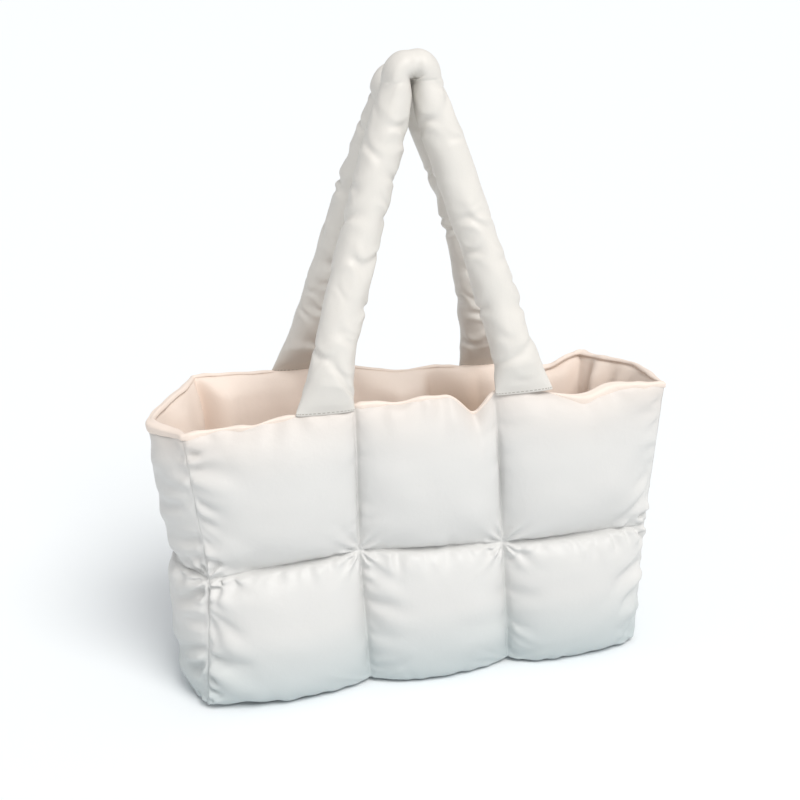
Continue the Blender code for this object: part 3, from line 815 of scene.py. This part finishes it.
def roll_rows(around):
    """Rows of points that go over the rim in a soft roll, and end outside it."""
    radius = np.interp(around, [roll.at for roll in ROLLS], [roll.radius for roll in ROLLS])
    inside = np.where(around <= COLUMNS, np.minimum(around, COLUMNS - around),
                      -np.minimum(around - COLUMNS, ROUND - around))
    at_front = smooth(np.clip(0.5 + inside / FRONT_BLEND, 0, 1))
    uneven = sum(one.share * ring_noise(around, one.waves, one.level) for one in ROLL_UNEVEN)
    lively = CALM_ROLL + (1 - CALM_ROLL) * at_front
    radius = (radius * (ROLL_SHARE - FRONT_TRIM * at_front + lively * uneven))[:, None]
    tilt = ring_noise(around, ROLL_TILT.waves, ROLL_TILT.level)[:, None]
    rim = wall_middle(around, RIM)
    outward = lining_outward(around, RIM)
    rows = []
    for step in range(1, ROLL_STEPS + 1):
        turn = math.pi * step / ROLL_STEPS
        out = -math.cos(turn)
        out = out * (ROLL_IN if out < 0 else ROLL_OUT)
        lift = math.sin(turn) * (ROLL_TALL + TILT_LIFT * tilt * math.cos(turn))
        dent = math.exp(-((turn - DENT_TURN) / DENT_SPREAD) ** 2)
        crease = DENT_SHARE * dent * np.clip(radius / DENT_RADIUS - DENT_START, 0, 1)
        row = rim + outward * (radius * (out + TILT_SHIFT * tilt))
        row[:, 2:] += radius * (lift - crease)
        rows.append(row)
    last = rim + outward * (radius * ROLL_OUT * ROLL_END)
    last[:, 2:] -= radius * ROLL_DROP
    rows.append(last)
    return rows


def lining_sheet():
    """The lining: one sheet that hangs in the bag and is rolled over the rim."""
    steps = LINING_STEPS
    around = np.concatenate([post + cell_shares(steps) for post in range(ROUND)])
    rings = []
    for up, inset in lining_levels():
        depth = inset + lining_folds(around, up)
        rings.append(wall_middle(around, up) - lining_outward(around, up) * depth[:, None])
    points = np.array(rings + roll_rows(around))
    floor = patch_between(points[0], COLUMNS * steps, steps)
    count = points.shape[0] * points.shape[1]
    faces = grid_faces(ROUND * steps, points.shape[0] - 1, flipped=True, closed=True)
    faces += grid_faces(COLUMNS * steps, steps, count)
    whole = np.concatenate([points.reshape(-1, 3), floor.reshape(-1, 3)])
    piece = new_piece("lining_sheet", whole, faces)
    upward = np.cumsum(np.linalg.norm(np.diff(points, axis=0, prepend=points[:1]), axis=2), axis=0)
    across = np.broadcast_to(around * COLUMN_WIDTH, upward.shape)
    places = np.stack([across, upward], axis=-1).reshape(-1, 2)
    add_cloth_map(piece, np.concatenate([places, floor[..., :2].reshape(-1, 2)]))
    # Painted shade: the lining's colour darkens in its deep fold at the back
    shade = np.clip((around - SHADE_START) / SHADE_SOFTNESS, 0, 1)
    shade = smooth(shade) * np.clip((SHADE_END - around) / SHADE_EDGE, 0, 1)
    below_rim = np.clip((LINING_ROWS - 1 - np.arange(len(points))) / SHADE_ROWS, 0, 1)
    shade = below_rim[:, None] * shade[None, :]
    add_attribute(piece, "painted_shade", np.concatenate([shade.ravel(), np.zeros(floor.size // 3)]))
    weld = piece.modifiers.new("weld", "WELD")
    weld.merge_threshold = WELD_DISTANCE
    thick = piece.modifiers.new("thickness", "SOLIDIFY")
    thick.thickness = LINING_THICKNESS
    thick.offset = -1.0
    refine(piece)
    return piece


# The handles

Section = namedtuple("Section", "at width depth")
HANDLE_SECTIONS = [
    Section(0.00, 1.36, 0.08),
    Section(0.04, 1.24, 0.46),
    Section(0.10, 1.05, 0.84),
    Section(0.18, 0.95, 0.96),
    Section(0.55, 0.89, 0.97),
    Section(0.80, 0.90, 0.99),
    Section(0.90, 0.85, 1.02),
    Section(0.97, 0.72, 1.04),
    Section(1.00, 0.64, 1.04),
]

# A handle goes from its foot at seam_a to its foot at seam_b, on the front (-1) or back
# (1) wall. Its strands bow outwards, in shares of the bag's depth, higher up with bow_up.
# lift raises its top and step parts its strands there, in metres. key draws its dents.
Handle = namedtuple("Handle", "node rise side seam_a seam_b bow_a bow_b bow_up lift step key")
HANDLES = [
    Handle("handle_front", FRONT_HANDLE_RISE, -1, 1, 2, 0.034, 0.024, 0.8, 0.0042, 0.006, 21),
    Handle("handle_back", BACK_HANDLE_RISE, 1, 6, 5, 0.015, 0.095, 1.25, 0.0030, 0.0, 34),
]

# Fineness of a handle: steps along a strand, over the bend, and round the tube
STRAND_STEPS = 130
BEND_STEPS = 24
HANDLE_SIDES = 48

# The bend is a little square, and pinched at its top over some of its steps. The strands
# close up softly below it. APEX_TRIM sets it sideways from the part's, in metres.
BEND_SQUARENESS = 0.82
BEND_PINCH = 0.14
PINCH_REACH = 1.6
HEAD_CONTACT = 0.05
APEX_TRIM = -0.003

# The share of a strand that turns upright into its foot, and how far the feet stand out
# from the rim's middle line and below it, in metres
FOOT_SHARE = 0.15
FOOT_OUT = 0.0030
FOOT_DROP = 0.0030

# Dents of a handle: how many a strand has, their depth, length and width in metres, and
# how much of the tube stays plain at its foot and its bend
DENTS = 28
DENT_DEPTH = (0.0007, 0.0026)
DENT_LENGTH = (0.012, 0.030)
DENT_WIDTH = (0.0022, 0.0045)
DENT_SLANT = 0.9
FOOT_PLAIN = 0.012
BEND_PLAIN = 0.02

# The slow swing of a tube's own radius, in metres, and how firm it stays at its foot
TUBE_SWING = 0.00192
SWING_ROUND = 0.9
SWING_LENGTH = 0.030
FIRM_SHARE = 0.06
FIRM_LEAST = 0.15
HANDLE_WARMTH = 0.25

# Stitches across a handle's feet, in metres
STITCH_HEIGHT = 0.0030
STITCH_THICKNESS = 0.0009
STITCH_PITCH = 0.0034
STITCH_CUT = -0.4
THREAD_COLOUR = (0.42, 0.39, 0.35, 1)


def rim_near(x, side):
    """Points of the rim's middle line at some x, on the front (-1) or back (1) wall."""
    first = FRONT_LEFT if side < 0 else BACK_RIGHT
    line = wall_middle(first + COLUMNS * np.linspace(0, 1, 301), RIM)
    order = np.argsort(line[:, 0])
    x = np.asarray(x, float)
    return np.stack([x, np.interp(x, line[order, 0], line[order, 1]),
                     np.interp(x, line[order, 0], line[order, 2])], axis=-1)


def handle_path(handle):
    """Middle points of a handle from foot to foot, with each one's strand share."""
    half_foot = HANDLE_SECTIONS[0].width * HANDLE_DIAMETER / 2
    foot_a = rim_near(CROSSINGS[handle.seam_a, 2, 0] - half_foot, handle.side)
    foot_b = rim_near(CROSSINGS[handle.seam_b, 2, 0] + half_foot, handle.side)
    half_width = HANDLE_SECTIONS[-1].width * HANDLE_DIAMETER / 2
    half_depth = HANDLE_SECTIONS[-1].depth * HANDLE_DIAMETER / 2
    bend = half_width + HANDLE_BEND_GAP / 2
    lean = handle.side * (half_depth + HANDLE_APEX_GAP / 2)
    height = BAG_HEIGHT + handle.rise + handle.lift - half_width - bend
    centre = np.array([HANDLE_APEX_SHIFT + APEX_TRIM, lean, height])
    side = np.array([bend, 0.0, 0.0])
    step = np.array([0.0, handle.step / 2, 0.0])
    for foot in (foot_a, foot_b):
        foot += (0.0, handle.side * FOOT_OUT, -FOOT_DROP)
    share = (np.arange(STRAND_STEPS) / STRAND_STEPS)[:, None]
    left = 1 - share
    closing = np.sqrt(left ** 2 + HEAD_CONTACT ** 2) - HEAD_CONTACT
    closing = closing / (math.sqrt(1 + HEAD_CONTACT ** 2) - HEAD_CONTACT)
    strands = []
    for foot, head, bow in (
            (foot_a, centre - side - 2 * step, -handle.bow_a),
            (foot_b, centre + side, handle.bow_b)):
        line = foot * (1 - share) + head * share
        line[:, :1] = foot[0] * closing + head[0] * (1 - closing)
        line[:, 0] += (bow * BAG_DEPTH * np.sin(math.pi * share ** handle.bow_up))[:, 0]
        strands.append(line)
    turn = math.pi * (1 - np.arange(BEND_STEPS + 1) / BEND_STEPS)
    over = np.sign(np.cos(turn)) * np.abs(np.cos(turn)) ** BEND_SQUARENESS
    arc = centre + bend * np.stack([over, 0 * turn, np.sin(turn) ** BEND_SQUARENESS], axis=1)
    arc = arc - step * (1 - over[:, None])
    path = np.concatenate([strands[0], arc, strands[1][::-1]])
    shares = np.concatenate([share[:, 0], np.ones(BEND_STEPS + 1), share[::-1, 0]])
    return path, shares


def section_sizes(shares):
    """Widths and depths of a strand at shares of its length."""
    at = [section.at for section in HANDLE_SECTIONS]
    width = np.interp(shares, at, [section.width for section in HANDLE_SECTIONS])
    depth = np.interp(shares, at, [section.depth for section in HANDLE_SECTIONS])
    return width * HANDLE_DIAMETER, depth * HANDLE_DIAMETER


def tube_relief(chance, across, upward, girth, start, end):
    """Height of the dents over a tube's cloth, from slanted creases and a slow swing."""
    total = np.zeros(np.broadcast_shapes(across.shape, upward.shape))
    for number in range(DENTS):
        middle = start + (end - start) * (number + chance.uniform(*CREASE_PLACES)) / DENTS
        place = chance.uniform(0, girth)
        slant = chance.uniform(-DENT_SLANT, DENT_SLANT)
        depth, width = chance.uniform(*DENT_DEPTH), chance.uniform(*DENT_WIDTH)
        length = chance.uniform(*DENT_LENGTH)
        round_way = (across - place + girth / 2) % girth - girth / 2
        along = round_way * math.cos(slant) + (upward - middle) * math.sin(slant)
        off = (upward - middle) * math.cos(slant) - round_way * math.sin(slant)
        off = off / (width * (1 + 2 * (along / length) ** 2))
        total = total - crease_height(depth, off, along / length)
    return total


def handle_tube(handle):
    """A padded tube handle, flat where it is sewn to the rim."""
    path, shares = handle_path(handle)
    ahead = np.concatenate([path[1:], path[-1:]])
    behind = np.concatenate([path[:1], path[:-1]])
    along = unit(ahead - behind)
    upright = np.zeros_like(path)
    upright[:, 2] = np.where(np.arange(len(path)) < len(path) / 2, 1.0, -1.0)
    blend = np.clip(shares / FOOT_SHARE, 0, 1)[:, None]
    along = unit(upright * (1 - blend) + along * blend)
    facing = unit(np.cross(path[-1] - path[0], path[len(path) // 2] - path[0]))
    side = unit(np.cross(along, facing))
    front = np.cross(side, along)
    width, depth = section_sizes(shares)
    middle = np.abs(np.arange(len(path)) - (len(path) - 1) / 2)
    pinch = 1 - BEND_PINCH * np.exp(-(middle / PINCH_REACH) ** 2)
    turn = 2 * math.pi * np.arange(HANDLE_SIDES) / HANDLE_SIDES
    girth = math.pi * HANDLE_DIAMETER
    lengths = np.concatenate([[0], np.cumsum(np.linalg.norm(np.diff(path, axis=0), axis=1))])
    round_way = (turn / (2 * math.pi) * girth)[None, :]
    upward = lengths[:, None]
    chance = np.random.default_rng(handle.key)
    whole = lengths[-1]
    relief = tube_relief(
        chance, round_way, upward, girth, FOOT_PLAIN, whole / 2 - BEND_PLAIN)
    relief = relief + tube_relief(
        chance, round_way, upward, girth, whole / 2 + BEND_PLAIN, whole - FOOT_PLAIN)
    swing = np.array([[noise.noise(Vector((
        math.cos(angle) * SWING_ROUND, math.sin(angle) * SWING_ROUND + 5 * handle.side,
        far / SWING_LENGTH))) for angle in turn] for far in lengths])
    firm = np.clip(shares / FIRM_SHARE, FIRM_LEAST, 1)[:, None]
    relief = (relief + TUBE_SWING * swing) * firm
    across_way, front_way = np.cos(turn)[None, :, None], np.sin(turn)[None, :, None]
    half_width = (width * pinch / 2)[:, None, None]
    half_depth = (depth * pinch / 2)[:, None, None]
    points = path[:, None] + side[:, None] * (across_way * (half_width + relief[..., None]))
    points = points + front[:, None] * (front_way * (half_depth + relief[..., None]))
    faces = grid_faces(HANDLE_SIDES, len(path) - 1, closed=True)
    last = (len(path) - 1) * HANDLE_SIDES
    faces.append(tuple(range(HANDLE_SIDES))[::-1])
    faces.append(tuple(last + number for number in range(HANDLE_SIDES)))
    piece = new_piece(handle.node + "_tube", points, faces)
    places = np.meshgrid(round_way.ravel(), lengths)
    add_cloth_map(piece, np.stack(places, axis=-1).reshape(-1, 2))
    add_attribute(piece, "foot", np.repeat(np.minimum(lengths, whole - lengths), HANDLE_SIDES))
    add_attribute(piece, "warm_tone_and_painted_reflection", np.full(len(piece.data.vertices), HANDLE_WARMTH))
    refine(piece)
    return piece


# Materials

# Each cloth varies softly between two colours. Its tints lie where the attributes with their names
# tell: the cool tint of the shell and the dark tint of the lining are painted shade, the warm tint
# of the shell is a painted reflection of the lining, and the warm tint of the handles is their own
# even tone. The weaves' periods are in metres, and a wave texture turns by 20 radians for each
# unit at a scale of 1.
SHELL_COLOURS = (0.70, 0.70, 0.69, 1), (0.67, 0.67, 0.66, 1)
SHELL_TINTS = {"painted_shade": (0.50, 0.56, 0.57, 1), "warm_tone_and_painted_reflection": (0.71, 0.66, 0.62, 1)}
STRAP_COLOURS = (0.745, 0.735, 0.705, 1), (0.715, 0.705, 0.675, 1)
STRAP_TINTS = {"warm_tone_and_painted_reflection": (0.76, 0.71, 0.65, 1)}
LINING_COLOURS = (0.87, 0.765, 0.69, 1), (0.85, 0.74, 0.66, 1)
LINING_TINTS = {"painted_shade": (0.62, 0.50, 0.41, 1)}
FLOOR_COLOUR = (0.88, 0.915, 0.94, 1)
NYLON_ROUGHNESS = 0.45
LINING_ROUGHNESS = 0.6
NYLON_WEAVE = 0.0009
LINING_WEAVE = 0.0007
WAVE_TEXTURE_SCALE = 20


def node(tree, kind, **values):
    """Add a shader node, and set its inputs or its own properties by name."""
    made = tree.nodes.new(kind)
    for name, value in values.items():
        if name in made.inputs:
            made.inputs[name].default_value = value
        else:
            setattr(made, name, value)
    return made


def worked(tree, operation, *terms):
    """What a math node gives. Each term is a number or what another node gives."""
    made = node(tree, "ShaderNodeMath", operation=operation)
    for place, term in zip(made.inputs, terms):
        if isinstance(term, float):
            place.default_value = term
        else:
            tree.links.new(term, place)
    return made.outputs["Value"]


def toned(tree, shown, tone, strength):
    """A colour with a tone mixed in where the strength tells."""
    mix = node(tree, "ShaderNodeMix", data_type="RGBA")
    mix.inputs["B"].default_value = tone
    tree.links.new(strength, mix.inputs["Factor"])
    tree.links.new(shown, mix.inputs["A"])
    return mix.outputs["Result"]


def cloth_material(name, colour, tinted, roughness, weave_period, tints):
    """Woven cloth: a plain weave and soft creases in the bump, and a slight tint.

    tints holds colours by the name of the attribute that brings each of them in: painted shade, a
    painted reflection, or a cloth's own tone.
    """
    material = bpy.data.materials.new(name)
    material.use_nodes = True
    tree = material.node_tree
    shader = tree.nodes["Principled BSDF"]
    shader.inputs["Roughness"].default_value = roughness
    shader.inputs["Specular IOR Level"].default_value = 0.35
    place = node(tree, "ShaderNodeTexCoord")
    cloth_map = node(tree, "ShaderNodeUVMap", uv_map="cloth")
    patches = node(tree, "ShaderNodeTexNoise", Scale=9.0, Detail=3.0)
    tree.links.new(place.outputs["Object"], patches.inputs["Vector"])
    tint = node(tree, "ShaderNodeMix", data_type="RGBA")
    tint.inputs["A"].default_value = colour
    tint.inputs["B"].default_value = tinted
    tree.links.new(patches.outputs["Fac"], tint.inputs["Factor"])
    shown = tint.outputs["Result"]
    for attribute, tone in tints.items():
        strength = node(tree, "ShaderNodeAttribute", attribute_name=attribute)
        shown = toned(tree, shown, tone, strength.outputs["Fac"])
    tree.links.new(shown, shader.inputs["Base Color"])
    scale = 2 * math.pi / (WAVE_TEXTURE_SCALE * weave_period)
    warp = node(tree, "ShaderNodeTexWave", bands_direction="X", Scale=scale)
    weft = node(tree, "ShaderNodeTexWave", bands_direction="Y", Scale=scale)
    for wave in (warp, weft):
        tree.links.new(cloth_map.outputs["UV"], wave.inputs["Vector"])
    weave = worked(tree, "MULTIPLY", warp.outputs["Fac"], weft.outputs["Fac"])
    crumples = node(tree, "ShaderNodeTexNoise", Scale=70.0, Detail=4.0, Roughness=0.6)
    tree.links.new(place.outputs["Object"], crumples.inputs["Vector"])
    fine = node(tree, "ShaderNodeBump", Strength=0.15, Distance=0.0002)
    tree.links.new(weave, fine.inputs["Height"])
    soft = node(tree, "ShaderNodeBump", Strength=0.25, Distance=0.0015)
    tree.links.new(crumples.outputs["Fac"], soft.inputs["Height"])
    tree.links.new(fine.outputs["Normal"], soft.inputs["Normal"])
    tree.links.new(soft.outputs["Normal"], shader.inputs["Normal"])
    return material


def stitch_row(material):
    """A row of stitches across a handle's feet, in the colour of its thread."""
    tree = material.node_tree
    shader = tree.nodes["Principled BSDF"]
    cloth_colour = shader.inputs["Base Color"].links[0].from_socket
    foot = node(tree, "ShaderNodeAttribute", attribute_name="foot")
    row = worked(tree, "COMPARE", foot.outputs["Fac"], STITCH_HEIGHT, STITCH_THICKNESS / 2)
    cloth_map = node(tree, "ShaderNodeUVMap", uv_map="cloth")
    parts = node(tree, "ShaderNodeSeparateXYZ")
    tree.links.new(cloth_map.outputs["UV"], parts.inputs["Vector"])
    turn = worked(tree, "MULTIPLY", parts.outputs["X"], 2 * math.pi / STITCH_PITCH)
    dash = worked(tree, "GREATER_THAN", worked(tree, "SINE", turn), STITCH_CUT)
    stitch = worked(tree, "MULTIPLY", row, dash)
    thread = toned(tree, cloth_colour, THREAD_COLOUR, stitch)
    tree.links.new(thread, shader.inputs["Base Color"])


def plain_material(name, colour, roughness):
    material = bpy.data.materials.new(name)
    material.use_nodes = True
    shader = material.node_tree.nodes["Principled BSDF"]
    shader.inputs["Base Color"].default_value = colour
    shader.inputs["Roughness"].default_value = roughness
    return material


# Stage, light and camera

FLOOR_HALF = 60.0
FLOOR_ROUGHNESS = 0.9
WORLD_STRENGTH = 0.32


def floor():
    """A plain pale floor."""
    corners = FLOOR_HALF * np.array([(-1, -1, 0), (1, -1, 0), (1, 1, 0), (-1, 1, 0)])
    piece = new_piece("floor", corners, [(0, 1, 2, 3)])
    piece.data.materials.append(plain_material("floor_paper", FLOOR_COLOUR, FLOOR_ROUGHNESS))


def seen_from(azimuth, elevation):
    """Direction to a place far away. azimuth is counted from the front to the right."""
    turn, rise = math.radians(azimuth), math.radians(elevation)
    return Vector((math.sin(turn) * math.cos(rise), -math.cos(turn) * math.cos(rise),
                   math.sin(rise)))


def soft_sun(name, azimuth, elevation, softness, strength, colour):
    """A broad lamp far away."""
    lamp = bpy.data.lights.new(name, "SUN")
    lamp.angle = math.radians(softness)
    lamp.energy = strength
    lamp.color = colour
    lit = bpy.data.objects.new(name, lamp)
    towards = seen_from(azimuth, elevation)
    lit.rotation_euler = (-towards).to_track_quat("-Z", "Y").to_euler()
    bpy.context.scene.collection.objects.link(lit)


def lights():
    world = bpy.data.worlds.new("studio")
    world.use_nodes = True
    ground = world.node_tree.nodes["Background"]
    ground.inputs["Color"].default_value = (1.0, 0.99, 0.98, 1.0)
    ground.inputs["Strength"].default_value = WORLD_STRENGTH
    bpy.context.scene.world = world
    soft_sun("key", 22.0, 52.0, 32.0, 2.15, (1.0, 0.975, 0.945))
    soft_sun("top", 0.0, 85.0, 130.0, 0.9, (0.985, 0.99, 1.0))


def photo_camera():
    """The camera of the photograph."""
    azimuth, roll = math.radians(CAMERA_AZIMUTH), math.radians(CAMERA_ROLL)
    back = seen_from(CAMERA_AZIMUTH, CAMERA_ELEVATION)
    right = Vector((math.cos(azimuth), math.sin(azimuth), 0.0))
    up = back.cross(right)
    across = right * math.cos(roll) + up * math.sin(roll)
    upwards = up * math.cos(roll) - right * math.sin(roll)
    place = Vector((0.0, 0.0, CAMERA_HEIGHT)) + back * CAMERA_DISTANCE + right * CAMERA_SIDE
    data = bpy.data.cameras.new("photo_camera")
    data.sensor_fit = "HORIZONTAL"
    data.sensor_width = SENSOR
    data.lens = FOCAL_PIXELS / IMAGE_PIXELS * SENSOR
    camera = bpy.data.objects.new("photo_camera", data)
    turned = Matrix((across, upwards, back)).transposed().to_4x4()
    camera.matrix_world = Matrix.Translation(place) @ turned
    bpy.context.scene.collection.objects.link(camera)
    bpy.context.scene.camera = camera


def build():
    shell = cloth_material(
        "shell_nylon", *SHELL_COLOURS, NYLON_ROUGHNESS, NYLON_WEAVE, SHELL_TINTS)
    strap = cloth_material(
        "handle_nylon", *STRAP_COLOURS, NYLON_ROUGHNESS, NYLON_WEAVE, STRAP_TINTS)
    stitch_row(strap)
    inside = cloth_material(
        "lining_cloth", *LINING_COLOURS, LINING_ROUGHNESS, LINING_WEAVE, LINING_TINTS)
    panel_puffs = (PANEL_PUFF, PANEL_PUFF)
    left_puffs = (GUSSET_LOWER_PUFF, GUSSET_UPPER_PUFF)
    right_puffs = (RIGHT_SHARE * GUSSET_LOWER_PUFF, RIGHT_SHARE * GUSSET_UPPER_PUFF)
    walls = [
        ("front_panel", FRONT_LEFT, COLUMNS, panel_puffs),
        ("gusset_right", FRONT_RIGHT, 1, right_puffs),
        ("back_panel", BACK_RIGHT, COLUMNS, panel_puffs),
        ("gusset_left", BACK_LEFT, 1, left_puffs),
    ]
    for name, first_post, cells, puffs in walls:
        wall = padded_wall(name + "_cloth", first_post, cells, puffs)
        dress(wall, shell, "shell", name)
    base = padded_base()
    dress(base, shell, "shell", "base_panel")
    sheet = lining_sheet()
    dress(sheet, inside, "lining", "lining")
    for handle in HANDLES:
        tube = handle_tube(handle)
        dress(tube, strap, "handle", handle.node)


build()
floor()
lights()
photo_camera()
bpy.context.scene.view_settings.view_transform = "Standard"
bpy.context.view_layer.update()
